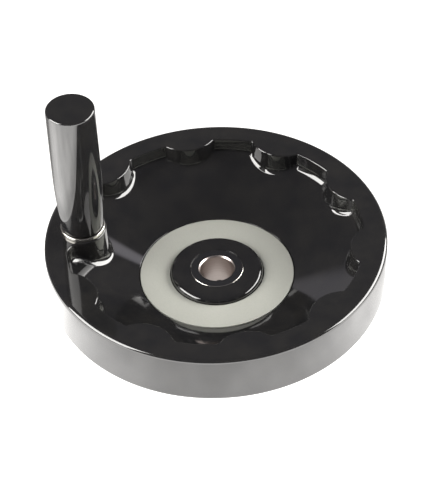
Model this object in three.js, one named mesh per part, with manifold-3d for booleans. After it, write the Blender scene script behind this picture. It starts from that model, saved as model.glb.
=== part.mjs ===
// Dished handwheel with a revolving handle.
// Millimetres, +Z up. The origin is the centre of the shaft bore on the back face of the hub;
// +Z points out of the dish towards the operator and the handle stands on the -X side.

import * as THREE from 'three';
import { mergeVertices } from 'three/addons/utils/BufferGeometryUtils.js';
import Module from 'manifold-3d';

const wasm = await Module();
wasm.setup();

// ---------------------------------------------------------------- driving dimensions

const WHEEL_RADIUS = 100;
const HUB_LENGTH = 30;              // back face of the hub to its front face
const HUB_RISE = 3.2;               // front face of the hub above the cover plate
const DISH_DEPTH = 29.5;            // rim top to the cover plate
const RIM_HEIGHT = 32.4;
const RIM_TOP_EDGE = 2.5;           // edge radii of the rim
const RIM_BOTTOM_EDGE = 3;
const RIM_DRAFT = 0.6;              // the outer wall narrows this much downwards
const RIM_BACK_RADIUS = 88;         // inner wall of the rim seen from behind

const GAP_RADIUS = 86.1;            // wall between the lobes
const DISH_SLOPE = 0.5;             // the dish is a plain cone from the plate up to that wall
const WEB_THICKNESS = 7.2;          // measured along Z

const LOBE_COUNT = 10;              // one of them is the handle boss
const LOBE_RADIUS = 20.3;
const LOBE_CENTRE = 98.5;           // distance of a lobe's arc centre from the axis
const LOBE_ROOT = 16;               // how far below the rim top a lobe's root is buried

const HANDLE_OFFSET = 78.5;         // handle axis to wheel axis
const BOSS_RADIUS = 14;
const BOSS_BLEND = 7;               // radius that blends the boss into the rim wall
const BOSS_HEIGHT = 28;             // the boss's root reaches this far below the rim top

const PLATE_OUTER = 45.5;
const PLATE_INNER = 27.8;
const PLATE_THICKNESS = 1.2;
const ADHESIVE_THICKNESS = 0.3;
const PLATE_SEAT_CLEARANCE = 0.6;
const PLATE_PROUD = 0.3;            // the plate stands this much above its surround
const HUB_SHOULDER = 3;             // rounded shoulder of the hub's front

const BORE_RADIUS = 10;
const BORE_CHAMFER = 0.8;
const BUSHING_RADIUS = 15.7;
const BUSHING_FLANGE = 18.5;        // buried flange that holds the bushing in the hub
const BUSHING_FLANGE_LOW = 13;
const BUSHING_FLANGE_HIGH = 19;
const BUSHING_PROUD = 2;            // the bushing stands out of the back of the hub
const HUB_BACK_RADIUS = 24;
const HUB_ROOT_RADIUS = 27;

const SCREW_RADIUS = 3;
const SCREW_LENGTH = 10;
const SCREW_HEIGHT = 7;             // axis above the back face of the hub
const SCREW_TIP = 10.6;             // cup point from the wheel axis
const SCREW_SOCKET = 1.7;           // circumradius of the hexagon socket
const SCREW_SOCKET_DEPTH = 3;

const FIT_GAP = 0.3;                // between a piece and the pocket cut for it

const INSERT_RADIUS = 8;
const INSERT_LENGTH = 20;
const INSERT_GROOVE = 7;
const THREAD_RADIUS = 4.9;
const THREAD_LENGTH = 18;
const COLLAR_RADIUS = 13.4;
const COLLAR_HEIGHT = 2.2;
const JOURNAL_RADIUS = 6;
const JOURNAL_LENGTH = 68;          // collar to tip
const RING_GROOVE_RADIUS = 5.2;
const RING_THICKNESS = 1;
const RING_OUTER = 7.3;
const RING_GAP_ANGLE = 0.9;         // opening of the snap ring, radians

const WASHER_INNER = 6.5;
const WASHER_OUTER = 9.6;
const WASHER_THICKNESS = 0.4;
const WASHER_WAVE = 0.35;           // height of a wave either side of the middle

const GRIP_GAP = 0.5;               // running gap between collar and grip
const GRIP_LENGTH = 87.3;
const GRIP_FOOT_RADIUS = 12;
const GRIP_BELLY_RADIUS = 14.1;
const GRIP_BELLY_HEIGHT = 40;       // above the foot
const GRIP_TOP_RADIUS = 13.9;
const GRIP_TOP_EDGE = 1.2;
const GRIP_BORE_RADIUS = 8.2;
const GRIP_BORE_DEPTH = 68;
const COUNTERBORE_RADIUS = 10.2;
const COUNTERBORE_DEPTH = 1.4;

const BUSH_INNER = 6.1;
const LOWER_BUSH_LENGTH = 16;
const UPPER_BUSH_LENGTH = 14;
const UPPER_BUSH_TOP = 3;           // below the blind end of the grip's bore

const WHEEL_SEGMENTS = 72;
const GRIP_SEGMENTS = 40;
const SMALL_SEGMENTS = 32;

// ---------------------------------------------------------------- derived heights

const PLATE_TOP = HUB_LENGTH - HUB_RISE;
const RIM_TOP = PLATE_TOP + DISH_DEPTH;
const RIM_BOTTOM = RIM_TOP - RIM_HEIGHT;
const PLATE_SEAT = PLATE_TOP - PLATE_THICKNESS - ADHESIVE_THICKNESS;
const PLATE_SURROUND = PLATE_TOP - PLATE_PROUD;
const PLATE_SEAT_RADIUS = PLATE_OUTER + PLATE_SEAT_CLEARANCE;
const COLLAR_TOP = RIM_TOP + COLLAR_HEIGHT;
const GRIP_FOOT = COLLAR_TOP + GRIP_GAP;
const BUSH_FOOT = GRIP_FOOT + COUNTERBORE_DEPTH;
const RING_BOTTOM = BUSH_FOOT + LOWER_BUSH_LENGTH + 0.3;

// ---------------------------------------------------------------- materials

function material(color, roughness, metalness) {
  return new THREE.MeshStandardMaterial({ color, roughness, metalness });
}

const blackPhenolic = material(0x0b0b0d, 0.08, 0);
const satinAluminium = material(0xc4c6bd, 0.45, 0.85);
const blackOxide = material(0x17171a, 0.35, 0.7);
const brightSteel = material(0xbdb9b2, 0.25, 1);
const springSteel = material(0x6d6e72, 0.3, 1);
const bronze = material(0xa87b45, 0.4, 0.9);
const brass = material(0xb89a52, 0.35, 0.9);
const adhesive = material(0xd9d5c6, 0.8, 0);

// ---------------------------------------------------------------- shape helpers

const point = (x, y) => new THREE.Vector2(x, y);

// Points of an arc from angle a to angle b about (x, y), both ends included.
function arc(x, y, radius, a, b, steps) {
  return Array.from({ length: steps + 1 }, (_, i) => {
    const angle = a + (b - a) * i / steps;
    return point(x + radius * Math.cos(angle), y + radius * Math.sin(angle));
  });
}

// Only positions are kept, shared corners are merged and collapsed triangles are dropped.
function cleaned(geometry) {
  geometry.deleteAttribute('normal');
  geometry.deleteAttribute('uv');
  const merged = mergeVertices(geometry, 1e-4);
  const corners = merged.index.array;
  const kept = [];
  for (let i = 0; i < corners.length; i += 3) {
    const [a, b, c] = corners.slice(i, i + 3);
    if (a !== b && b !== c && c !== a) kept.push(a, b, c);
  }
  merged.setIndex(kept);
  return merged;
}

// A profile of (radius, height) points, counter-clockwise, turned about Z.
function revolved(profile, segments) {
  const geometry = new THREE.LatheGeometry(profile, segments);
  geometry.rotateX(Math.PI / 2);
  return cleaned(geometry);
}

function ringProfile(inner, outer, low, high) {
  return [point(inner, low), point(outer, low), point(outer, high), point(inner, high), point(inner, low)];
}

// A flat outline raised along Z from low to high.
function raised(outline, low, high) {
  const shape = new THREE.Shape(outline);
  const geometry = new THREE.ExtrudeGeometry(shape, { depth: high - low, bevelEnabled: false });
  geometry.translate(0, 0, low);
  return cleaned(geometry);
}

function toSolid(geometry) {
  const mesh = new wasm.Mesh({
    numProp: 3,
    vertProperties: new Float32Array(geometry.attributes.position.array),
    triVerts: new Uint32Array(geometry.index.array),
  });
  return new wasm.Manifold(mesh);
}

function toGeometry(solid) {
  const mesh = solid.getMesh();
  const geometry = new THREE.BufferGeometry();
  geometry.setAttribute('position', new THREE.BufferAttribute(new Float32Array(mesh.vertProperties), 3));
  geometry.setIndex(new THREE.BufferAttribute(new Uint32Array(mesh.triVerts), 1));
  return geometry;
}

const group = new THREE.Group();

function addPiece(name, geometry, look) {
  const mesh = new THREE.Mesh(geometry, look);
  mesh.name = name;
  group.add(mesh);
  return mesh;
}

// ---------------------------------------------------------------- wheel body

// Height of the dish floor at a radius.
function floorHeight(radius) {
  return PLATE_SURROUND + DISH_SLOPE * (radius - PLATE_SEAT_RADIUS);
}

// Radii from one end to the other, both included.
function spread(from, to, steps) {
  return Array.from({ length: steps + 1 }, (_, i) => from + (to - from) * i / steps);
}

// The half section of the wheel without its lobes. It shares the bushing's outside,
// so that the bushing sits in it face to face.
function wheelProfile() {
  const quarter = Math.PI / 2;
  const topEdge = WHEEL_RADIUS - RIM_TOP_EDGE;
  const bottomWall = WHEEL_RADIUS - RIM_DRAFT;
  const webRoot = RIM_BACK_RADIUS - 1;
  return [
    point(BUSHING_RADIUS, BUSHING_PROUD),
    point(HUB_BACK_RADIUS, BUSHING_PROUD),
    point(HUB_ROOT_RADIUS, PLATE_SEAT - WEB_THICKNESS - 2),
    point(HUB_ROOT_RADIUS + 3, PLATE_SEAT - WEB_THICKNESS),
    point(PLATE_SEAT_RADIUS, PLATE_SURROUND - WEB_THICKNESS),
    point(webRoot, floorHeight(webRoot) - WEB_THICKNESS),
    point(RIM_BACK_RADIUS, RIM_BOTTOM + 1),
    point(RIM_BACK_RADIUS + 1, RIM_BOTTOM),
    ...arc(bottomWall - RIM_BOTTOM_EDGE, RIM_BOTTOM + RIM_BOTTOM_EDGE, RIM_BOTTOM_EDGE, -quarter, 0, 3),
    ...arc(topEdge, RIM_TOP - RIM_TOP_EDGE, RIM_TOP_EDGE, 0, quarter, 3),
    point(GAP_RADIUS, RIM_TOP),
    point(GAP_RADIUS, floorHeight(GAP_RADIUS)),
    point(PLATE_SEAT_RADIUS, PLATE_SURROUND),
    point(PLATE_SEAT_RADIUS, PLATE_SEAT),
    point(PLATE_INNER - 0.3, PLATE_SEAT),
    ...arc(PLATE_INNER - 0.3 - HUB_SHOULDER, HUB_LENGTH - HUB_SHOULDER, HUB_SHOULDER, 0, quarter, 3),
    point(BUSHING_RADIUS, HUB_LENGTH),
    point(BUSHING_RADIUS, BUSHING_FLANGE_HIGH),
    point(BUSHING_FLANGE, BUSHING_FLANGE_HIGH),
    point(BUSHING_FLANGE, BUSHING_FLANGE_LOW),
    point(BUSHING_RADIUS, BUSHING_FLANGE_LOW),
    point(BUSHING_RADIUS, BUSHING_PROUD),
  ];
}

// Plan of one finger lobe on the +X side: an arc bulging inwards, closed inside the rim.
function lobeOutline() {
  const buried = GAP_RADIUS + 4;
  const halfAngle = Math.acos((LOBE_CENTRE - buried) / LOBE_RADIUS);
  return arc(LOBE_CENTRE, 0, LOBE_RADIUS, Math.PI - halfAngle, Math.PI + halfAngle, 12);
}

// Where the boss's flare, an arc outside the nose and inside the rim wall, touches both.
function bossFlare() {
  const toFlare = BOSS_RADIUS + BOSS_BLEND;
  const wallToFlare = GAP_RADIUS - BOSS_BLEND;
  const x = (wallToFlare ** 2 - toFlare ** 2 + HANDLE_OFFSET ** 2) / (2 * HANDLE_OFFSET);
  const y = Math.sqrt(wallToFlare ** 2 - x ** 2);
  return { x, y, noseAngle: Math.atan2(y, x - HANDLE_OFFSET), wallAngle: Math.atan2(y, x) };
}

function bossNose(flare) {
  return arc(HANDLE_OFFSET, 0, BOSS_RADIUS, flare.noseAngle, 2 * Math.PI - flare.noseAngle, 16);
}

// Plan of the handle boss on the +X side: a round nose that flares into the rim wall.
function flaredOutline() {
  const flare = bossFlare();
  const side = arc(flare.x, flare.y, BOSS_BLEND, flare.wallAngle, flare.noseAngle - Math.PI, 5);
  const otherSide = side.map((p) => point(p.x, -p.y)).reverse();
  const buried = GAP_RADIUS + 4;
  return [
    point(buried, -side[0].y),
    point(buried, side[0].y),
    ...side,
    ...bossNose(flare).slice(1, -1),
    ...otherSide,
  ];
}

// Plan of the boss's root, which runs down through the web behind the nose.
function rootOutline() {
  const nose = bossNose(bossFlare());
  const buried = GAP_RADIUS + 4;
  return [point(buried, nose[0].y), ...nose, point(buried, -nose[0].y)];
}

function handlePocket() {
  const profile = [
    point(0, RIM_TOP - INSERT_LENGTH),
    point(INSERT_RADIUS + FIT_GAP, RIM_TOP - INSERT_LENGTH),
    point(INSERT_RADIUS + FIT_GAP, RIM_TOP + 1),
    point(0, RIM_TOP + 1),
  ];
  return revolved(profile, SMALL_SEGMENTS).translate(-HANDLE_OFFSET, 0, 0);
}

// Radial hole along +Y for the hub's set screw.
function screwHole(from, to) {
  const hole = new THREE.CylinderGeometry(SCREW_RADIUS + FIT_GAP, SCREW_RADIUS + FIT_GAP, to - from, 24);
  hole.translate(0, (from + to) / 2, SCREW_HEIGHT);
  return cleaned(hole);
}

function wheelBody() {
  let body = toSolid(revolved(wheelProfile(), WHEEL_SEGMENTS));
  for (let i = 1; i < LOBE_COUNT; i += 1) {
    const angle = Math.PI + i * 2 * Math.PI / LOBE_COUNT;
    const lobe = raised(lobeOutline(), RIM_TOP - LOBE_ROOT, RIM_TOP).rotateZ(angle);
    body = body.add(toSolid(lobe));
  }
  const boss = raised(flaredOutline(), RIM_TOP - LOBE_ROOT, RIM_TOP).rotateZ(Math.PI);
  const root = raised(rootOutline(), RIM_TOP - BOSS_HEIGHT, RIM_TOP).rotateZ(Math.PI);
  body = body.add(toSolid(boss)).add(toSolid(root));
  body = body.subtract(toSolid(handlePocket()));
  body = body.subtract(toSolid(screwHole(BUSHING_RADIUS - 1, HUB_ROOT_RADIUS + 2)));
  return toGeometry(body);
}

// ---------------------------------------------------------------- hub

function hubBushing() {
  const profile = [
    point(BORE_RADIUS, BORE_CHAMFER),
    point(BORE_RADIUS + BORE_CHAMFER, 0),
    point(BUSHING_RADIUS - 0.6, 0),
    point(BUSHING_RADIUS, 0.6),
    point(BUSHING_RADIUS, BUSHING_PROUD),
    point(BUSHING_RADIUS, BUSHING_FLANGE_LOW),
    point(BUSHING_FLANGE, BUSHING_FLANGE_LOW),
    point(BUSHING_FLANGE, BUSHING_FLANGE_HIGH),
    point(BUSHING_RADIUS, BUSHING_FLANGE_HIGH),
    point(BUSHING_RADIUS, HUB_LENGTH - 0.4),
    point(BUSHING_RADIUS - 0.4, HUB_LENGTH),
    point(BORE_RADIUS + BORE_CHAMFER, HUB_LENGTH),
    point(BORE_RADIUS, HUB_LENGTH - BORE_CHAMFER),
    point(BORE_RADIUS, BORE_CHAMFER),
  ];
  const bushing = toSolid(revolved(profile, WHEEL_SEGMENTS));
  const hole = toSolid(screwHole(0, BUSHING_RADIUS + 1));
  return toGeometry(bushing.subtract(hole));
}

// A grub screw with a cup point at the shaft and a hexagon socket at its outer end.
function setScrew() {
  const cup = 1;
  const profile = [
    point(0, cup),
    point(SCREW_RADIUS - 1, 0),
    point(SCREW_RADIUS, 1),
    point(SCREW_RADIUS, SCREW_LENGTH - 0.5),
    point(SCREW_RADIUS - 0.5, SCREW_LENGTH),
    point(0, SCREW_LENGTH),
  ];
  const socket = new THREE.CylinderGeometry(SCREW_SOCKET, SCREW_SOCKET, 2 * SCREW_SOCKET_DEPTH, 6);
  socket.rotateX(Math.PI / 2);
  socket.translate(0, 0, SCREW_LENGTH);
  const screw = toSolid(revolved(profile, 24)).subtract(toSolid(cleaned(socket)));
  const geometry = toGeometry(screw);
  geometry.rotateX(-Math.PI / 2);
  geometry.translate(0, SCREW_TIP, SCREW_HEIGHT);
  return geometry;
}

function coverPlate() {
  const profile = ringProfile(PLATE_INNER, PLATE_OUTER, PLATE_TOP - PLATE_THICKNESS, PLATE_TOP);
  return revolved(profile, WHEEL_SEGMENTS);
}

function plateAdhesive() {
  const high = PLATE_SEAT + ADHESIVE_THICKNESS;
  const profile = ringProfile(PLATE_INNER + 1, PLATE_OUTER - 1, PLATE_SEAT, high);
  return revolved(profile, WHEEL_SEGMENTS);
}

// ---------------------------------------------------------------- handle

// The handle's pieces are turned about their own axis and moved to the boss.
function onHandleAxis(geometry) {
  return geometry.translate(-HANDLE_OFFSET, 0, 0);
}

function handleInsert() {
  const low = RIM_TOP - INSERT_LENGTH;
  const profile = [
    point(THREAD_RADIUS + FIT_GAP, low),
    point(INSERT_RADIUS, low),
    point(INSERT_RADIUS, low + 5),
    point(INSERT_GROOVE, low + 6),
    point(INSERT_GROOVE, low + 8),
    point(INSERT_RADIUS, low + 9),
    point(INSERT_RADIUS, low + 12),
    point(INSERT_GROOVE, low + 13),
    point(INSERT_GROOVE, low + 15),
    point(INSERT_RADIUS, low + 16),
    point(INSERT_RADIUS, RIM_TOP),
    point(THREAD_RADIUS + FIT_GAP, RIM_TOP),
    point(THREAD_RADIUS + FIT_GAP, low),
  ];
  return onHandleAxis(revolved(profile, SMALL_SEGMENTS));
}

function handleSpindle() {
  const tip = COLLAR_TOP + JOURNAL_LENGTH;
  const edge = 0.7;
  const profile = [
    point(0, RIM_TOP - THREAD_LENGTH),
    point(THREAD_RADIUS - 1, RIM_TOP - THREAD_LENGTH),
    point(THREAD_RADIUS, RIM_TOP - THREAD_LENGTH + 1),
    point(THREAD_RADIUS, RIM_TOP),
    point(COLLAR_RADIUS - edge, RIM_TOP),
    point(COLLAR_RADIUS, RIM_TOP + edge),
    point(COLLAR_RADIUS, COLLAR_TOP - edge),
    point(COLLAR_RADIUS - edge, COLLAR_TOP),
    point(JOURNAL_RADIUS, COLLAR_TOP),
    point(JOURNAL_RADIUS, RING_BOTTOM - 0.1),
    point(RING_GROOVE_RADIUS, RING_BOTTOM - 0.1),
    point(RING_GROOVE_RADIUS, RING_BOTTOM + RING_THICKNESS + 0.1),
    point(JOURNAL_RADIUS, RING_BOTTOM + RING_THICKNESS + 0.1),
    point(JOURNAL_RADIUS, tip - 1),
    point(JOURNAL_RADIUS - 1, tip),
    point(0, tip),
  ];
  return onHandleAxis(revolved(profile, SMALL_SEGMENTS));
}

// An open ring that springs into the spindle's groove above the lower bush.
function snapRing() {
  const from = RING_GAP_ANGLE / 2;
  const to = 2 * Math.PI - from;
  const outline = [
    ...arc(0, 0, RING_OUTER, from, to, 28),
    ...arc(0, 0, RING_GROOVE_RADIUS + 0.1, to, from, 28),
  ];
  return onHandleAxis(raised(outline, RING_BOTTOM, RING_BOTTOM + RING_THICKNESS));
}

// A flat ring bent into three waves, which takes up the grip's end play.
function waveWasher() {
  const middle = COLLAR_TOP + WASHER_WAVE + WASHER_THICKNESS / 2;
  const low = middle - WASHER_THICKNESS / 2;
  const geometry = revolved(ringProfile(WASHER_INNER, WASHER_OUTER, low, low + WASHER_THICKNESS), 48);
  const positions = geometry.attributes.position;
  for (let i = 0; i < positions.count; i += 1) {
    const angle = Math.atan2(positions.getY(i), positions.getX(i));
    positions.setZ(i, positions.getZ(i) + WASHER_WAVE * Math.cos(3 * angle));
  }
  return onHandleAxis(geometry);
}

// The grip's outside narrows from the belly to the foot and is nearly straight above it.
function gripProfile() {
  const top = GRIP_FOOT + GRIP_LENGTH;
  const belly = GRIP_FOOT + GRIP_BELLY_HEIGHT;
  const footEdge = 0.6;
  const foot = GRIP_FOOT + footEdge;
  const outside = spread(0, 1, 6).map((t) => {
    const narrowing = (GRIP_BELLY_RADIUS - GRIP_FOOT_RADIUS) * (1 - t) ** 2;
    return point(GRIP_BELLY_RADIUS - narrowing, foot + (belly - foot) * t);
  });
  return [
    point(0, GRIP_FOOT + GRIP_BORE_DEPTH),
    point(GRIP_BORE_RADIUS, GRIP_FOOT + GRIP_BORE_DEPTH),
    point(GRIP_BORE_RADIUS, GRIP_FOOT + COUNTERBORE_DEPTH),
    point(COUNTERBORE_RADIUS, GRIP_FOOT + COUNTERBORE_DEPTH),
    point(COUNTERBORE_RADIUS, GRIP_FOOT),
    point(GRIP_FOOT_RADIUS - footEdge, GRIP_FOOT),
    ...outside,
    ...arc(GRIP_TOP_RADIUS - GRIP_TOP_EDGE, top - GRIP_TOP_EDGE, GRIP_TOP_EDGE, 0, Math.PI / 2, 3),
    point(0, top),
  ];
}

function handleGrip() {
  return onHandleAxis(revolved(gripProfile(), GRIP_SEGMENTS));
}

function bush(low, length) {
  const profile = ringProfile(BUSH_INNER, GRIP_BORE_RADIUS, low, low + length);
  return onHandleAxis(revolved(profile, GRIP_SEGMENTS));
}

// ---------------------------------------------------------------- assembly

addPiece('wheel_body', wheelBody(), blackPhenolic);
addPiece('hub_bushing', hubBushing(), blackOxide);
addPiece('hub_set_screw', setScrew(), blackOxide);
addPiece('plate_adhesive', plateAdhesive(), adhesive);
addPiece('cover_plate', coverPlate(), satinAluminium);
addPiece('handle_insert', handleInsert(), brass);
addPiece('handle_spindle', handleSpindle(), brightSteel);
addPiece('wave_washer', waveWasher(), springSteel);
addPiece('snap_ring', snapRing(), springSteel);
addPiece('lower_bush', bush(BUSH_FOOT, LOWER_BUSH_LENGTH), bronze);
addPiece('upper_bush', bush(GRIP_FOOT + GRIP_BORE_DEPTH - UPPER_BUSH_TOP - UPPER_BUSH_LENGTH,
  UPPER_BUSH_LENGTH), bronze);
addPiece('handle_grip', handleGrip(), blackPhenolic);

export default group;
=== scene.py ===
"""Looks for a dished handwheel with a revolving handle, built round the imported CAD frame.

Every mesh here is made in millimetres in the CAD frame and scaled to metres at the end. The wheel
is a grid of rows that run right round it: circles on the hub and the rim, and wavy rows that
follow the finger lobes and the handle boss in between.
"""

import math

import bmesh
import bpy
import numpy as np
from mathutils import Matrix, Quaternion, Vector


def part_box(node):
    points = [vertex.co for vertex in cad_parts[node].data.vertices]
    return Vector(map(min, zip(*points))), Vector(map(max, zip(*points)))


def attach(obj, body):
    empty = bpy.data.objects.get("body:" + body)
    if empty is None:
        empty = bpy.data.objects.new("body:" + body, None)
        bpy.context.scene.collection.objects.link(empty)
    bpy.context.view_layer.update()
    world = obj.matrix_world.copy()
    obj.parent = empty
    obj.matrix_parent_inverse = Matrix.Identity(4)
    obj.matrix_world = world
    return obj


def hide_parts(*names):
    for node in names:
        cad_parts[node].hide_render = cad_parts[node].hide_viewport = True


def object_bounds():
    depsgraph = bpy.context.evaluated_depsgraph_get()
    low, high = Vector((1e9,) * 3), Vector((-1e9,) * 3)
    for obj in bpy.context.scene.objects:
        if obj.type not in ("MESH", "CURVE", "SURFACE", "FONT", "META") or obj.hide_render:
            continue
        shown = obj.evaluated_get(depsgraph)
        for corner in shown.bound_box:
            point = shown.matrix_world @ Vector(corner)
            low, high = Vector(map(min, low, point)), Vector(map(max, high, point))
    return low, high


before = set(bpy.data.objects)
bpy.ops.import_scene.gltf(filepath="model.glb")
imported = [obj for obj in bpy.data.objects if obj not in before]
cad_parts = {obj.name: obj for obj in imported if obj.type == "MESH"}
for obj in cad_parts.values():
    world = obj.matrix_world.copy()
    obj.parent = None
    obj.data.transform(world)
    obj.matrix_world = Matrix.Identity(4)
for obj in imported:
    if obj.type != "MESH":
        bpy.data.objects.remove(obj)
cad_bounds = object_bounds()

MM = 0.001
SHARP_ANGLE = math.radians(38)


# ---------------------------------------------------------------- sizes, in millimetres


def low(node):
    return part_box(node)[0] / MM


def high(node):
    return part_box(node)[1] / MM


WHEEL_RADIUS = high("wheel_body").x
RIM_TOP = high("wheel_body").z
HUB_BACK = low("wheel_body").z
HUB_FRONT = high("hub_bushing").z
PLATE_OUTER = high("cover_plate").x
PLATE_TOP = high("cover_plate").z
PLATE_BOTTOM = low("cover_plate").z
PLATE_SEAT = low("plate_adhesive").z
HANDLE_X = (low("handle_grip").x + high("handle_grip").x) / 2
GRIP_FOOT = low("handle_grip").z
GRIP_TOP = high("handle_grip").z
INSERT_BOTTOM = low("handle_insert").z

PLATE_INNER = 27.8
PLATE_PROUD = 0.3
SEAT_CLEARANCE = 0.6
HUB_CLEARANCE = 0.3
HUB_SHOULDER = 3.0
RIM_HEIGHT = 32.4
RIM_TOP_EDGE = 2.5
RIM_BOTTOM_EDGE = 3.0
RIM_DRAFT = 0.6
RIM_BACK_RADIUS = 88.0
GAP_RADIUS = 86.1
DISH_SLOPE = 0.5
WEB_THICKNESS = 7.2
LOBE_COUNT = 10
LOBE_RADIUS = 20.3
LOBE_CENTRE = 98.5
LOBE_BLEND = 1.0
HANDLE_OFFSET = -HANDLE_X
BOSS_RADIUS = 14.0
BOSS_BLEND = 7.0
BOSS_BOTTOM = RIM_TOP - 28.0
FOOT_FILLET = 3.0
WALL_DRAFT = 0.35
WALL_TOP_EDGE = 0.9
BORE_RADIUS = 10.0
BORE_CHAMFER = 0.8
BUSHING_RADIUS = 15.7
BUSHING_FLANGE = 18.5
FLANGE_LOW = 13.0
FLANGE_HIGH = 19.0
HUB_BACK_RADIUS = 24.0
HUB_ROOT_RADIUS = 27.0
PLATE_EDGE = 0.28
SEAT_EDGE = 0.35
BOSS_ROOT_EDGE = 1.0
BOSS_ROOT_FILLET = 2.5
BOSS_ROOT_OVERLAP = 2.0
SCREW_HEIGHT = 7.0
SCREW_HOLE = 3.3
INSERT_RADIUS = 8.0
COLLAR_RADIUS = 13.0
COLLAR_TOP = RIM_TOP + 2.2
THREAD_RADIUS = 4.9
THREAD_DEPTH = 0.75
THREAD_PITCH = 1.5
JOURNAL_RADIUS = 6.0
GROOVE_RADIUS = 5.2
GRIP_FOOT_RADIUS = 12.0
GRIP_BELLY_RADIUS = 14.1
GRIP_BELLY = GRIP_FOOT + 40.0
GRIP_TOP_RADIUS = 13.9
GRIP_TOP_EDGE = 1.3
GRIP_BORE = 8.2
GRIP_BORE_TOP = GRIP_FOOT + 68.0
COUNTERBORE = 10.2
COUNTERBORE_DEPTH = 1.4


# ---------------------------------------------------------------- mesh helpers


def make_object(name, vertices, faces):
    mesh = bpy.data.meshes.new(name)
    mesh.from_pydata((np.asarray(vertices) * MM).tolist(), [], faces)
    builder = bmesh.new()
    builder.from_mesh(mesh)
    bmesh.ops.remove_doubles(builder, verts=builder.verts, dist=1e-7)
    bmesh.ops.recalc_face_normals(builder, faces=builder.faces)
    builder.to_mesh(mesh)
    builder.free()
    piece = bpy.data.objects.new(name, mesh)
    bpy.context.scene.collection.objects.link(piece)
    return piece


def smooth(piece):
    piece.data.shade_smooth()
    piece.data.set_sharp_from_angle(angle=SHARP_ANGLE)
    return piece


def rounded(corners, closed, steps=6):
    """A profile of (radius, height) points from corners (radius, height, edge radius)."""
    points = []
    count = len(corners)
    for i, corner in enumerate(corners):
        here = np.array(corner[:2], float)
        edge = corner[2] if len(corner) > 2 else 0
        if edge == 0 or (not closed and i in (0, count - 1)):
            points.append(here)
            continue
        before = np.array(corners[i - 1][:2], float) - here
        after = np.array(corners[(i + 1) % count][:2], float) - here
        before /= np.linalg.norm(before)
        after /= np.linalg.norm(after)
        half = math.acos(float(np.clip(before @ after, -1, 1))) / 2
        reach = edge / math.tan(half)
        middle = (before + after) / np.linalg.norm(before + after)
        centre = here + middle * edge / math.sin(half)
        start = here + before * reach - centre
        end = here + after * reach - centre
        turn = math.pi - 2 * half
        support = 0.12 * edge
        points.append(here + before * (reach + support))
        for k in range(steps + 1):
            share = k / steps
            mixed = start * math.sin((1 - share) * turn) + end * math.sin(share * turn)
            points.append(centre + mixed / math.sin(turn))
        points.append(here + after * (reach + support))
    return points


def grid_faces(rows, columns, closed):
    """Quads between rows of a grid whose columns go right round."""
    faces = []
    for i in range(rows if closed else rows - 1):
        j = (i + 1) % rows
        for k in range(columns):
            n = (k + 1) % columns
            faces.append((i * columns + k, i * columns + n, j * columns + n, j * columns + k))
    return faces


def turned(name, profile, closed, segments=144, centre=0.0):
    """A profile turned about an axis parallel to Z. Points on the axis collapse to one vertex."""
    angles = np.linspace(0, 2 * math.pi, segments, endpoint=False)
    rows = [
        np.stack([centre + r * np.cos(angles), r * np.sin(angles), np.full(segments, z)], 1)
        for r, z in profile
    ]
    return make_object(name, np.concatenate(rows), grid_faces(len(rows), segments, closed))


def combine(piece, other, operation):
    """Joins or cuts piece with other, which is removed."""
    modifier = piece.modifiers.new("combine", "BOOLEAN")
    modifier.operation = operation
    modifier.object = other
    modifier.solver = "MANIFOLD"
    bpy.context.view_layer.update()
    evaluated = piece.evaluated_get(bpy.context.evaluated_depsgraph_get())
    result = bpy.data.meshes.new_from_object(evaluated)
    piece.modifiers.clear()
    piece.data = result
    bpy.data.objects.remove(other)
    return piece


# ---------------------------------------------------------------- wheel body


def floor_height(radius):
    """Height of the dish floor, a plain cone from the plate's surround to the rim's wall."""
    return PLATE_TOP - PLATE_PROUD + DISH_SLOPE * (radius - PLATE_OUTER - SEAT_CLEARANCE)


def boss_flare():
    """Centre of the arc that blends the boss into the rim wall, on the +Y side of a boss at +X."""
    to_nose = BOSS_RADIUS + BOSS_BLEND
    to_wall = GAP_RADIUS - BOSS_BLEND
    x = (to_wall**2 - to_nose**2 + HANDLE_OFFSET**2) / (2 * HANDLE_OFFSET)
    return x, math.sqrt(to_wall**2 - x**2)


def wall_distance(radius, angle):
    """Distance from the dish wall, positive in the open dish and negative in the rim's material.
    The angle is measured from the handle boss."""
    x = radius * np.cos(angle)
    y = np.abs(radius * np.sin(angle))
    rim = GAP_RADIUS - radius
    boss = np.hypot(x - HANDLE_OFFSET, y) - BOSS_RADIUS
    flare_x, flare_y = boss_flare()
    from_flare = np.arctan2(y - flare_y, x - flare_x)
    nose_angle = math.atan2(-flare_y, HANDLE_OFFSET - flare_x)
    wall_angle = math.atan2(flare_y, flare_x)
    in_flare = (from_flare > nose_angle) & (from_flare < wall_angle)
    flare = BOSS_BLEND - np.hypot(x - flare_x, y - flare_y)
    wall = np.where(in_flare, flare, np.minimum(rim, boss))
    pitch = 2 * math.pi / LOBE_COUNT
    lobe = np.round(angle / pitch)
    local = angle - lobe * pitch
    lobe_x = radius * np.cos(local) - LOBE_CENTRE
    lobe_distance = np.hypot(lobe_x, radius * np.sin(local)) - LOBE_RADIUS
    lobe_distance = np.where(lobe % LOBE_COUNT == 0, 99.0, lobe_distance)
    near = np.clip(LOBE_BLEND - np.abs(wall - lobe_distance), 0, None) / LOBE_BLEND
    return np.minimum(wall, lobe_distance) - near**2 * LOBE_BLEND / 4


def row_at(distance, angle):
    """Radius at each angle where the wall is that far away."""
    inner = np.full(angle.shape, 52.0)
    outer = np.full(angle.shape, 92.0)
    for _ in range(44):
        middle = (inner + outer) / 2
        open_side = wall_distance(middle, angle) > distance
        inner = np.where(open_side, middle, inner)
        outer = np.where(open_side, outer, middle)
    return (inner + outer) / 2


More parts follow.
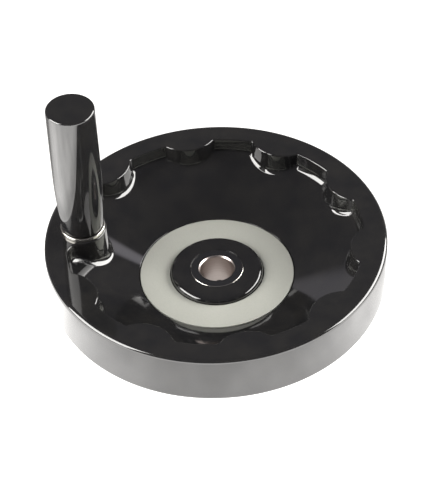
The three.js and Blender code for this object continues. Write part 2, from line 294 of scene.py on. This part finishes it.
def wheel_columns():
    """Angles from the boss, closer together round the boss and in the corners beside each lobe."""
    pitch = 2 * math.pi / LOBE_COUNT
    corner = math.acos(
        (LOBE_CENTRE**2 + GAP_RADIUS**2 - LOBE_RADIUS**2) / (2 * LOBE_CENTRE * GAP_RADIUS)
    )
    marks = np.linspace(0, 2 * math.pi, 600, endpoint=False)
    dense = []
    for lobe in range(1, LOBE_COUNT):
        for side in (-1, 1):
            middle = lobe * pitch + side * corner
            dense.append(np.linspace(middle - 0.026, middle + 0.026, 26))
    for side in (-1, 1):
        dense.append(side * np.linspace(math.radians(9.2), math.radians(13.2), 130))
        dense.append(side * np.linspace(math.radians(13.2), math.radians(17), 30))
    angles = np.sort(np.mod(np.concatenate([marks, *dense]), 2 * math.pi))
    keep = np.diff(np.append(angles, angles[0] + 2 * math.pi)) > 2e-4
    return angles[keep]


def hub_profile():
    """The turned stretch from the hub's pocket over its face to the dish beside the plate."""
    seat = PLATE_OUTER + SEAT_CLEARANCE
    shoulder = PLATE_INNER - HUB_CLEARANCE
    corners = [
        (BUSHING_RADIUS, HUB_BACK + 4),
        (BUSHING_RADIUS, FLANGE_LOW, 0.1),
        (BUSHING_FLANGE, FLANGE_LOW, 0.1),
        (BUSHING_FLANGE, FLANGE_HIGH, 0.1),
        (BUSHING_RADIUS, FLANGE_HIGH, 0.1),
        (BUSHING_RADIUS, HUB_FRONT, 0.15),
        (shoulder, HUB_FRONT, HUB_SHOULDER),
        (shoulder, PLATE_SEAT, 0.2),
        (seat, PLATE_SEAT, 0.2),
        (seat, floor_height(seat), SEAT_EDGE),
        (seat + 2, floor_height(seat + 2)),
    ]
    return rounded(corners, closed=False, steps=8)[:-1]


def back_profile():
    """The turned stretch from the rim's top edge, down and round the back to the hub's pocket."""
    bottom = RIM_TOP - RIM_HEIGHT
    corners = [
        (WHEEL_RADIUS - 9, RIM_TOP),
        (WHEEL_RADIUS, RIM_TOP, RIM_TOP_EDGE),
        (WHEEL_RADIUS - RIM_DRAFT, bottom, RIM_BOTTOM_EDGE),
        (RIM_BACK_RADIUS, bottom, 1.2),
        (RIM_BACK_RADIUS - 0.5, floor_height(GAP_RADIUS + 1) - WEB_THICKNESS, 3.0),
        (PLATE_OUTER, floor_height(PLATE_OUTER) - WEB_THICKNESS, 4.0),
        (HUB_ROOT_RADIUS, PLATE_SEAT - WEB_THICKNESS, 3.5),
        (HUB_BACK_RADIUS, HUB_BACK, 0.8),
        (BUSHING_RADIUS, HUB_BACK, 0.3),
        (BUSHING_RADIUS, HUB_BACK + 3),
    ]
    return rounded(corners, closed=False, steps=8)[1:]


def wheel_rows(angle):
    """Every row of the wheel as (radius, height) arrays over the columns."""
    flat = np.ones(angle.shape)
    rows = [(r * flat, z * flat) for r, z in hub_profile()]
    last_circle = rows[-1][0]
    foot = row_at(FOOT_FILLET + 0.2, angle)
    for share in np.linspace(0.02, 1, 22):
        radius = last_circle + (foot - last_circle) * share
        rows.append((radius, floor_height(radius)))
    for turn in np.linspace(0, math.pi / 2, 11):
        radius = row_at(FOOT_FILLET * (1 - math.sin(turn)), angle)
        rows.append((radius, floor_height(radius) + FOOT_FILLET * (1 - math.cos(turn))))
    base = rows[-1][1]
    brink = RIM_TOP - WALL_TOP_EDGE
    for share in (0.04, 0.35, 0.7, 0.97):
        radius = row_at(-WALL_DRAFT * share, angle)
        rows.append((radius, base + (brink - base) * share))
    for turn in np.linspace(0, math.pi / 2, 9):
        radius = row_at(-WALL_DRAFT - WALL_TOP_EDGE * (1 - math.cos(turn)), angle)
        rows.append((radius, (brink + WALL_TOP_EDGE * math.sin(turn)) * flat))
    inner = rows[-1][0]
    outer = back_profile()
    for share in (0.02, 0.15, 0.4, 0.7, 0.92):
        rows.append((inner + (outer[0][0] - inner) * share, RIM_TOP * flat))
    rows += [(r * flat, z * flat) for r, z in outer]
    return rows


def boss_root():
    """The boss's round root below the web, with a fillet that follows the web's slope."""
    segments = 160
    angles = np.linspace(0, 2 * math.pi, segments, endpoint=False)
    edge = BOSS_ROOT_EDGE
    fillet = BOSS_ROOT_FILLET
    rings = [(0, BOSS_BOTTOM), (BOSS_RADIUS - edge - 0.2, BOSS_BOTTOM)]
    for turn in np.linspace(0, math.pi / 2, 6):
        radius = BOSS_RADIUS - edge + edge * math.sin(turn)
        rings.append((radius, BOSS_BOTTOM + edge * (1 - math.cos(turn))))
    rows = [
        np.stack([HANDLE_X + r * np.cos(angles), r * np.sin(angles), np.full(segments, z)], 1)
        for r, z in rings
    ]
    for turn in np.linspace(0, math.pi / 2, 7):
        reach = BOSS_RADIUS + fillet * (1 - math.cos(turn))
        x = HANDLE_X + reach * np.cos(angles)
        y = reach * np.sin(angles)
        web = floor_height(np.clip(np.hypot(x, y), 0, GAP_RADIUS)) - WEB_THICKNESS
        z = np.maximum(web - fillet * (1 - math.sin(turn)), BOSS_BOTTOM + edge + 0.2)
        rows.append(np.stack([x, y, z + 0.02], 1))
    for reach in (BOSS_RADIUS + fillet, 0):
        x = HANDLE_X + reach * np.cos(angles)
        y = reach * np.sin(angles)
        web = floor_height(np.clip(np.hypot(x, y), 0, GAP_RADIUS)) - WEB_THICKNESS
        rows.append(np.stack([x, y, web + BOSS_ROOT_OVERLAP], 1))
    faces = grid_faces(len(rows), segments, closed=False)
    return make_object("boss_root", np.concatenate(rows), faces)


def plug_cutter(name, radius, start, end):
    """A round bar from start to end, for a blind or through hole."""
    direction = Vector(end) - Vector(start)
    length = direction.length
    profile = [(0, 0), (radius, 0), (radius, length), (0, length)]
    bar = turned(name, profile, closed=False, segments=64)
    rotation = direction.to_track_quat("Z", "Y").to_matrix().to_4x4()
    bar.data.transform(rotation)
    for vertex in bar.data.vertices:
        vertex.co += Vector(start) * MM
    return bar


def wheel_body():
    angle = wheel_columns()
    rows = wheel_rows(angle)
    azimuth = angle + math.pi
    vertices = np.concatenate(
        [np.stack([r * np.cos(azimuth), r * np.sin(azimuth), z], 1) for r, z in rows]
    )
    body = make_object("wheel_body_moulding", vertices, grid_faces(len(rows), len(angle), True))
    combine(body, boss_root(), "UNION")
    pocket = plug_cutter(
        "insert_pocket",
        INSERT_RADIUS + 0.1,
        (HANDLE_X, 0, INSERT_BOTTOM),
        (HANDLE_X, 0, RIM_TOP + 2),
    )
    combine(body, pocket, "DIFFERENCE")
    hole = plug_cutter(
        "screw_hole", SCREW_HOLE, (0, BUSHING_RADIUS - 1, SCREW_HEIGHT), (0, 30, SCREW_HEIGHT)
    )
    combine(body, hole, "DIFFERENCE")
    return smooth(body)


# ---------------------------------------------------------------- hub and handle pieces


def hub_bushing():
    corners = [
        (BORE_RADIUS, 0, BORE_CHAMFER),
        (BUSHING_RADIUS - 0.05, 0, 0.6),
        (BUSHING_RADIUS - 0.05, FLANGE_LOW),
        (BUSHING_FLANGE - 0.05, FLANGE_LOW),
        (BUSHING_FLANGE - 0.05, FLANGE_HIGH),
        (BUSHING_RADIUS - 0.05, FLANGE_HIGH),
        (BUSHING_RADIUS - 0.05, HUB_FRONT, 0.45),
        (BORE_RADIUS + BORE_CHAMFER, HUB_FRONT, 0.12),
        (BORE_RADIUS, HUB_FRONT - BORE_CHAMFER, 0.12),
    ]
    piece = turned("hub_bushing_turned", rounded(corners, closed=True), closed=True)
    hole = plug_cutter("bushing_hole", SCREW_HOLE, (0, 0, SCREW_HEIGHT), (0, 20, SCREW_HEIGHT))
    return smooth(combine(piece, hole, "DIFFERENCE"))


def cover_plate():
    corners = [
        (PLATE_INNER, PLATE_BOTTOM, 0.1),
        (PLATE_OUTER, PLATE_BOTTOM, 0.1),
        (PLATE_OUTER, PLATE_TOP, PLATE_EDGE),
        (PLATE_INNER, PLATE_TOP, PLATE_EDGE),
    ]
    return smooth(turned("cover_plate_disc", rounded(corners, closed=True), True, segments=240))


def spindle():
    """The threaded spindle, its collar and the journal that the grip turns on."""
    ring_low = low("snap_ring").z - 0.1
    ring_high = high("snap_ring").z + 0.1
    bottom = low("handle_spindle").z
    tip = high("handle_spindle").z
    root = THREAD_RADIUS - THREAD_DEPTH
    thread = []
    height = bottom + 1.2
    while height < RIM_TOP - 2:
        thread += [(root, height), (THREAD_RADIUS, height + THREAD_PITCH / 2)]
        height += THREAD_PITCH
    corners = [
        (0, bottom),
        (THREAD_RADIUS - 1, bottom, 0.2),
        *thread,
        (root, RIM_TOP - 0.4),
        (root, RIM_TOP),
        (COLLAR_RADIUS, RIM_TOP, 0.35),
        (COLLAR_RADIUS, COLLAR_TOP, 0.45),
        (JOURNAL_RADIUS, COLLAR_TOP, 0.3),
        (JOURNAL_RADIUS, ring_low, 0.1),
        (GROOVE_RADIUS, ring_low, 0.05),
        (GROOVE_RADIUS, ring_high, 0.05),
        (JOURNAL_RADIUS, ring_high, 0.1),
        (JOURNAL_RADIUS, tip, 0.8),
        (0, tip),
    ]
    profile = rounded(corners, closed=False)
    return smooth(turned("handle_spindle_turned", profile, False, centre=HANDLE_X))


def grip():
    steps = 22
    outside = []
    for i in range(1, steps + 1):
        share = i / steps
        narrowing = (GRIP_BELLY_RADIUS - GRIP_FOOT_RADIUS) * (1 - share) ** 2
        height = GRIP_FOOT + (GRIP_BELLY - GRIP_FOOT) * share
        outside.append((GRIP_BELLY_RADIUS - narrowing, height))
    for share in (0.25, 0.5, 0.75):
        narrowing = (GRIP_BELLY_RADIUS - GRIP_TOP_RADIUS) * share**2
        height = GRIP_BELLY + (GRIP_TOP - GRIP_BELLY) * share
        outside.append((GRIP_BELLY_RADIUS - narrowing, height))
    corners = [
        (0, GRIP_BORE_TOP),
        (GRIP_BORE, GRIP_BORE_TOP, 0.5),
        (GRIP_BORE, GRIP_FOOT + COUNTERBORE_DEPTH, 0.1),
        (COUNTERBORE, GRIP_FOOT + COUNTERBORE_DEPTH, 0.1),
        (COUNTERBORE, GRIP_FOOT, 0.2),
        (GRIP_FOOT_RADIUS, GRIP_FOOT, 0.6),
        *outside,
        (GRIP_TOP_RADIUS, GRIP_TOP, GRIP_TOP_EDGE),
        (0, GRIP_TOP),
    ]
    profile = rounded(corners, closed=False, steps=10)
    return smooth(turned("handle_grip_moulding", profile, False, segments=192, centre=HANDLE_X))


# ---------------------------------------------------------------- materials


class Finish:
    """A material under construction: its shader and the texture nodes that feed it."""

    def __init__(self, name, metallic, ior, specular=0.5):
        self.material = bpy.data.materials.new(name)
        self.material.use_nodes = True
        self.tree = self.material.node_tree
        self.shader = self.tree.nodes["Principled BSDF"]
        self.shader.inputs["Metallic"].default_value = metallic
        self.shader.inputs["IOR"].default_value = ior
        self.shader.inputs["Specular IOR Level"].default_value = specular
        self.place = self.tree.nodes.new("ShaderNodeTexCoord").outputs["Object"]

    def node(self, kind, **settings):
        made = self.tree.nodes.new(kind)
        for name, value in settings.items():
            setattr(made, name, value)
        return made

    def link(self, source, target):
        self.tree.links.new(source, target)

    def noise(self, scale, detail=4.0, rough=0.55, place=None):
        made = self.node("ShaderNodeTexNoise")
        made.inputs["Scale"].default_value = scale
        made.inputs["Detail"].default_value = detail
        made.inputs["Roughness"].default_value = rough
        self.link(place or self.place, made.inputs["Vector"])
        return made.outputs["Fac"]

    def ramp(self, source, stops):
        made = self.node("ShaderNodeValToRGB")
        elements = made.color_ramp.elements
        while len(elements) < len(stops):
            elements.new(0.5)
        for element, (position, colour) in zip(elements, stops):
            element.position = position
            element.color = (*colour, 1)
        self.link(source, made.inputs["Fac"])
        return made.outputs["Color"]

    def levels(self, source, low_value, high_value, start=0.3, end=0.7):
        made = self.node("ShaderNodeMapRange")
        made.inputs["From Min"].default_value = start
        made.inputs["From Max"].default_value = end
        made.inputs["To Min"].default_value = low_value
        made.inputs["To Max"].default_value = high_value
        self.link(source, made.inputs["Value"])
        return made.outputs["Result"]

    def add(self, first, second):
        made = self.node("ShaderNodeMath", operation="ADD")
        self.link(first, made.inputs[0])
        self.link(second, made.inputs[1])
        return made.outputs["Value"]

    def multiply(self, first, second):
        made = self.node("ShaderNodeMath", operation="MULTIPLY")
        self.link(first, made.inputs[0])
        self.link(second, made.inputs[1])
        return made.outputs["Value"]

    def rings(self, centre_x=0.0):
        """Turning marks' place round an axis parallel to Z, and the distance from that axis."""
        shifted = self.node("ShaderNodeMapping")
        shifted.inputs["Location"].default_value = (-centre_x * MM, 0, 0)
        self.link(self.place, shifted.inputs["Vector"])
        flat = self.node("ShaderNodeVectorMath", operation="MULTIPLY")
        flat.inputs[1].default_value = (1, 1, 0)
        self.link(shifted.outputs["Vector"], flat.inputs[0])
        length = self.node("ShaderNodeVectorMath", operation="LENGTH")
        self.link(flat.outputs["Vector"], length.inputs[0])
        parts = self.node("ShaderNodeSeparateXYZ")
        self.link(self.place, parts.inputs["Vector"])
        joined = self.node("ShaderNodeCombineXYZ")
        self.link(length.outputs["Value"], joined.inputs["X"])
        self.link(parts.outputs["Z"], joined.inputs["Y"])
        return joined.outputs["Vector"], length.outputs["Value"]

    def bump(self, source, strength, distance):
        made = self.node("ShaderNodeBump")
        made.inputs["Strength"].default_value = strength
        made.inputs["Distance"].default_value = distance
        self.link(source, made.inputs["Height"])
        self.link(made.outputs["Normal"], self.shader.inputs["Normal"])


def phenolic(name, centre_x):
    """Gloss black moulded plastic: a polish that is slightly uneven, and fine wiping scratches."""
    finish = Finish(name, metallic=0.0, ior=1.6)
    mottle = finish.noise(70, 5)
    colour = finish.ramp(mottle, [(0.35, (0.008, 0.008, 0.0085)), (0.7, (0.0125, 0.012, 0.0115))])
    finish.link(colour, finish.shader.inputs["Base Color"])
    marks, _ = finish.rings(centre_x)
    wiping = finish.levels(finish.noise(900, 3, 0.7, marks), 0.0, 0.03, 0.45, 0.75)
    cloud = finish.levels(finish.noise(45, 3), 0.035, 0.07)
    finish.link(finish.add(wiping, cloud), finish.shader.inputs["Roughness"])
    finish.bump(finish.noise(130, 2), 0.10, 0.00004)
    return finish.material


def anodised_aluminium():
    """Matte natural aluminium with a fine blasted grain."""
    finish = Finish("satin_aluminium", metallic=0.35, ior=1.45)
    grain = finish.noise(2600, 3, 0.6)
    colour = finish.ramp(grain, [(0.3, (0.42, 0.43, 0.385)), (0.7, (0.50, 0.505, 0.455))])
    finish.link(colour, finish.shader.inputs["Base Color"])
    cloud = finish.levels(finish.noise(60, 3), 0.42, 0.52)
    finish.link(cloud, finish.shader.inputs["Roughness"])
    finish.bump(grain, 0.25, 0.00003)
    return finish.material


def steel(name, dark, light, roughness, centre_x=0.0):
    """Turned steel with fine marks round its axis."""
    finish = Finish(name, metallic=1.0, ior=1.5)
    marks, _ = finish.rings(centre_x)
    turning = finish.noise(2200, 3, 0.7, marks)
    colour = finish.ramp(turning, [(0.3, dark), (0.7, light)])
    finish.link(colour, finish.shader.inputs["Base Color"])
    rough = finish.levels(turning, roughness - 0.05, roughness + 0.07)
    finish.link(rough, finish.shader.inputs["Roughness"])
    finish.bump(turning, 0.12, 0.00002)
    return finish.material


def black_oxide():
    """Blackened turned steel."""
    finish = Finish("black_oxide_steel", metallic=0.0, ior=1.7)
    marks, _ = finish.rings()
    turning = finish.noise(1500, 3, 0.7, marks)
    colour = finish.ramp(turning, [(0.3, (0.006, 0.006, 0.007)), (0.7, (0.014, 0.014, 0.015))])
    finish.link(colour, finish.shader.inputs["Base Color"])
    finish.link(finish.levels(turning, 0.12, 0.22), finish.shader.inputs["Roughness"])
    finish.bump(turning, 0.08, 0.00002)
    return finish.material


def plain_metal(name, dark, light, roughness, scale):
    """Bronze, brass and spring steel with a cast or rolled grain."""
    finish = Finish(name, metallic=1.0, ior=1.5)
    grain = finish.noise(scale, 5, 0.6)
    colour = finish.ramp(grain, [(0.3, dark), (0.7, light)])
    finish.link(colour, finish.shader.inputs["Base Color"])
    rough = finish.levels(grain, roughness - 0.06, roughness + 0.1)
    finish.link(rough, finish.shader.inputs["Roughness"])
    finish.bump(grain, 0.15, 0.00003)
    return finish.material


def adhesive_film():
    finish = Finish("adhesive", metallic=0.0, ior=1.45)
    grain = finish.noise(800, 4)
    colour = finish.ramp(grain, [(0.3, (0.55, 0.53, 0.46)), (0.7, (0.66, 0.64, 0.56))])
    finish.link(colour, finish.shader.inputs["Base Color"])
    finish.link(finish.levels(grain, 0.6, 0.85), finish.shader.inputs["Roughness"])
    finish.bump(grain, 0.3, 0.00005)
    return finish.material


def pale_floor():
    """A pale floor whose glow is painted light for the studio light on it. What the object
    reflects of it is bright in front, in painted shade under the wheel and behind it, and a little
    uneven."""
    finish = Finish("pale_floor", metallic=0.0, ior=1.45)
    parts = finish.node("ShaderNodeSeparateXYZ")
    finish.link(finish.place, parts.inputs["Vector"])
    # painted light and shade: the floor's glow fades towards the back, is dimmed round and under
    # the wheel as a painted shadow, and is a little uneven
    depth = finish.levels(parts.outputs["Y"], FLOOR_GLOW, FLOOR_GLOW_BEHIND, *FLOOR_FADE)
    _, distance = finish.rings()
    across = finish.levels(distance, 0, 1, 0, FLOOR_SHADE_REACH)
    shade = finish.ramp(across, [(at, (level, level, level)) for at, level in FLOOR_SHADE])
    mottle = finish.levels(finish.noise(20, 2), 1 - FLOOR_MOTTLE, 1 + FLOOR_MOTTLE)
    glow = finish.multiply(finish.multiply(depth, shade), mottle)
    path = finish.node("ShaderNodeLightPath")
    seen = finish.add(glow, path.outputs["Is Camera Ray"])
    finish.link(seen, finish.shader.inputs["Emission Strength"])
    finish.shader.inputs["Emission Color"].default_value = (1.0, 0.985, 0.965, 1)
    finish.shader.inputs["Base Color"].default_value = (0.1, 0.1, 0.1, 1)
    finish.shader.inputs["Roughness"].default_value = 0.9
    return finish.material


# ---------------------------------------------------------------- stage

FLOOR_SIZE = 8.0
FLOOR_DROP = 0.0002
FLOOR_GLOW = 5.0
FLOOR_GLOW_BEHIND = 0.28
FLOOR_MOTTLE = 0.14

# the glow fades from front to back between these places along Y, in metres
FLOOR_FADE = (-0.030, 0.075)

# share of this distance from the wheel's axis, and how much of the glow is left there: a painted
# shadow round and under the wheel
FLOOR_SHADE_REACH = 0.2
FLOOR_SHADE = ((0.40, 0.27), (0.53, 0.55), (0.64, 0.66), (0.78, 0.52), (0.92, 0.95))

SKY_GLOW = 0.14
HORIZON_GLOW = 0.04

# azimuth, elevation, radius and brightness of soft spots in the surroundings
WINDOWS = ((122, 12, 13, 0.4), (52, 37, 5, 1.6))

CAMERA_TARGET = (0.8, -8.3, RIM_TOP)
CAMERA_AZIMUTH = 8.97
CAMERA_ELEVATION = 43.576
CAMERA_ROLL = -2.568
CAMERA_DISTANCE = 1078.0
CAMERA_LENS = 136.5

# name, azimuth, elevation, distance, width, height, power
SOFTBOXES = (
    ("softbox_right", 20, 22, 1.5, 1.70, 0.86, 70),
    ("softbox_left", 204, 29, 1.5, 1.21, 1.03, 60),
)


def direction(azimuth, elevation):
    """Unit vector; azimuth runs from +X towards +Y."""
    a = math.radians(azimuth)
    e = math.radians(elevation)
    return Vector((math.cos(a) * math.cos(e), math.sin(a) * math.cos(e), math.sin(e)))


def add_floor():
    builder = bmesh.new()
    bmesh.ops.create_grid(builder, x_segments=8, y_segments=8, size=FLOOR_SIZE / 2)
    mesh = bpy.data.meshes.new("floor")
    builder.to_mesh(mesh)
    builder.free()
    floor = bpy.data.objects.new("floor", mesh)
    floor.location.z = cad_bounds[0].z - FLOOR_DROP
    bpy.context.scene.collection.objects.link(floor)
    mesh.materials.append(pale_floor())


def add_softbox(name, azimuth, elevation, distance, width, height, power):
    light = bpy.data.lights.new(name, "AREA")
    light.shape = "RECTANGLE"
    light.size = width
    light.size_y = height
    light.energy = power
    light.color = (1.0, 0.985, 0.96)
    lamp = bpy.data.objects.new(name, light)
    towards = direction(azimuth, elevation)
    lamp.location = towards * distance + Vector((0, 0, RIM_TOP * MM))
    lamp.rotation_mode = "QUATERNION"
    lamp.rotation_quaternion = towards.to_track_quat("Z", "Y")
    lamp.visible_camera = False
    bpy.context.scene.collection.objects.link(lamp)


def add_world():
    """Dim surroundings with two small soft windows, and a pale backdrop past the floor's edge."""
    world = bpy.data.worlds.new("studio")
    world.use_nodes = True
    tree = world.node_tree
    background = tree.nodes["Background"]
    background.inputs["Color"].default_value = (0.99, 0.95, 1.03, 1)
    place = tree.nodes.new("ShaderNodeTexCoord")
    parts = tree.nodes.new("ShaderNodeSeparateXYZ")
    tree.links.new(place.outputs["Generated"], parts.inputs["Vector"])
    sky = tree.nodes.new("ShaderNodeMapRange")
    sky.interpolation_type = "SMOOTHSTEP"
    sky.inputs["From Min"].default_value = 0.05
    sky.inputs["From Max"].default_value = 0.4
    sky.inputs["To Min"].default_value = HORIZON_GLOW
    sky.inputs["To Max"].default_value = SKY_GLOW
    tree.links.new(parts.outputs["Z"], sky.inputs["Value"])
    level = sky.outputs["Result"]
    for azimuth, elevation, radius, glow in WINDOWS:
        towards = tree.nodes.new("ShaderNodeVectorMath")
        towards.operation = "DOT_PRODUCT"
        towards.inputs[1].default_value = direction(azimuth, elevation)
        tree.links.new(place.outputs["Generated"], towards.inputs[0])
        fade = tree.nodes.new("ShaderNodeMapRange")
        fade.interpolation_type = "SMOOTHSTEP"
        fade.inputs["From Min"].default_value = math.cos(math.radians(radius))
        fade.inputs["From Max"].default_value = math.cos(math.radians(radius * 0.2))
        fade.inputs["To Max"].default_value = glow
        tree.links.new(towards.outputs["Value"], fade.inputs["Value"])
        total = tree.nodes.new("ShaderNodeMath")
        tree.links.new(level, total.inputs[0])
        tree.links.new(fade.outputs["Result"], total.inputs[1])
        level = total.outputs["Value"]
    tree.links.new(level, background.inputs["Strength"])
    backdrop = tree.nodes.new("ShaderNodeBackground")
    backdrop.inputs["Color"].default_value = (0.96, 0.96, 0.96, 1)
    path = tree.nodes.new("ShaderNodeLightPath")
    mix = tree.nodes.new("ShaderNodeMixShader")
    tree.links.new(path.outputs["Is Camera Ray"], mix.inputs["Fac"])
    tree.links.new(background.outputs["Background"], mix.inputs[1])
    tree.links.new(backdrop.outputs["Background"], mix.inputs[2])
    tree.links.new(mix.outputs["Shader"], tree.nodes["World Output"].inputs["Surface"])
    bpy.context.scene.world = world


def add_camera():
    data = bpy.data.cameras.new("camera")
    data.lens = CAMERA_LENS
    data.sensor_width = 36.0
    data.clip_start = 0.05
    camera = bpy.data.objects.new("camera", data)
    elevation = math.radians(CAMERA_ELEVATION)
    azimuth = math.radians(CAMERA_AZIMUTH)
    back = Vector(
        (
            math.sin(azimuth) * math.cos(elevation),
            -math.cos(azimuth) * math.cos(elevation),
            math.sin(elevation),
        )
    )
    camera.location = (Vector(CAMERA_TARGET) + back * CAMERA_DISTANCE) * MM
    camera.rotation_mode = "QUATERNION"
    roll = Quaternion((0, 0, 1), math.radians(CAMERA_ROLL))
    camera.rotation_quaternion = (-back).to_track_quat("-Z", "Y") @ roll
    bpy.context.scene.collection.objects.link(camera)
    bpy.context.scene.camera = camera


# ---------------------------------------------------------------- assembly


def finish_piece(piece, body, node, material):
    piece.data.materials.clear()
    piece.data.materials.append(material)
    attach(piece, body)
    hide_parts(node)
    return piece


def brighten_bore(piece, bore, edge):
    """The bushing's bore and its chamfers are bare machined steel, and so is a thin edge ring."""
    piece.data.materials.append(bore)
    piece.data.materials.append(edge)
    for face in piece.data.polygons:
        radius = math.hypot(face.center.x, face.center.y) / MM
        height = face.center.z / MM
        if radius < BORE_RADIUS + 0.6:
            face.material_index = 1
        if radius > BUSHING_RADIUS - 0.42 and height > HUB_FRONT - 1:
            face.material_index = 2


def finish_node(node, material):
    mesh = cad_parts[node].data
    mesh.materials.clear()
    mesh.materials.append(material)


bore_steel = steel("bore_steel", (0.36, 0.315, 0.295), (0.50, 0.445, 0.42), 0.3)
edge_steel = steel("edge_steel", (0.60, 0.58, 0.53), (0.76, 0.74, 0.69), 0.2)
collar_steel = steel("bright_steel", (0.60, 0.58, 0.53), (0.76, 0.74, 0.69), 0.2, HANDLE_X)
spring_steel = plain_metal("spring_steel", (0.30, 0.30, 0.31), (0.42, 0.42, 0.43), 0.3, 900)
bush_bronze = plain_metal("bush_bronze", (0.45, 0.27, 0.12), (0.60, 0.38, 0.18), 0.38, 700)
insert_brass = plain_metal("insert_brass", (0.55, 0.42, 0.18), (0.70, 0.55, 0.26), 0.33, 600)

finish_piece(wheel_body(), "wheel", "wheel_body", phenolic("black_phenolic", 0.0))
bushing = finish_piece(hub_bushing(), "wheel", "hub_bushing", black_oxide())
brighten_bore(bushing, bore_steel, edge_steel)
finish_piece(cover_plate(), "wheel", "cover_plate", anodised_aluminium())
finish_piece(spindle(), "wheel", "handle_spindle", collar_steel)
finish_piece(grip(), "grip", "handle_grip", phenolic("grip_phenolic", HANDLE_X))

finish_node("hub_set_screw", bushing.data.materials[0])
finish_node("plate_adhesive", adhesive_film())
finish_node("handle_insert", insert_brass)
finish_node("wave_washer", spring_steel)
finish_node("snap_ring", spring_steel)
finish_node("lower_bush", bush_bronze)
finish_node("upper_bush", bush_bronze)

add_floor()
add_world()
for softbox in SOFTBOXES:
    add_softbox(*softbox)
add_camera()
bpy.context.scene.view_settings.view_transform = "Standard"

bpy.context.view_layer.update()
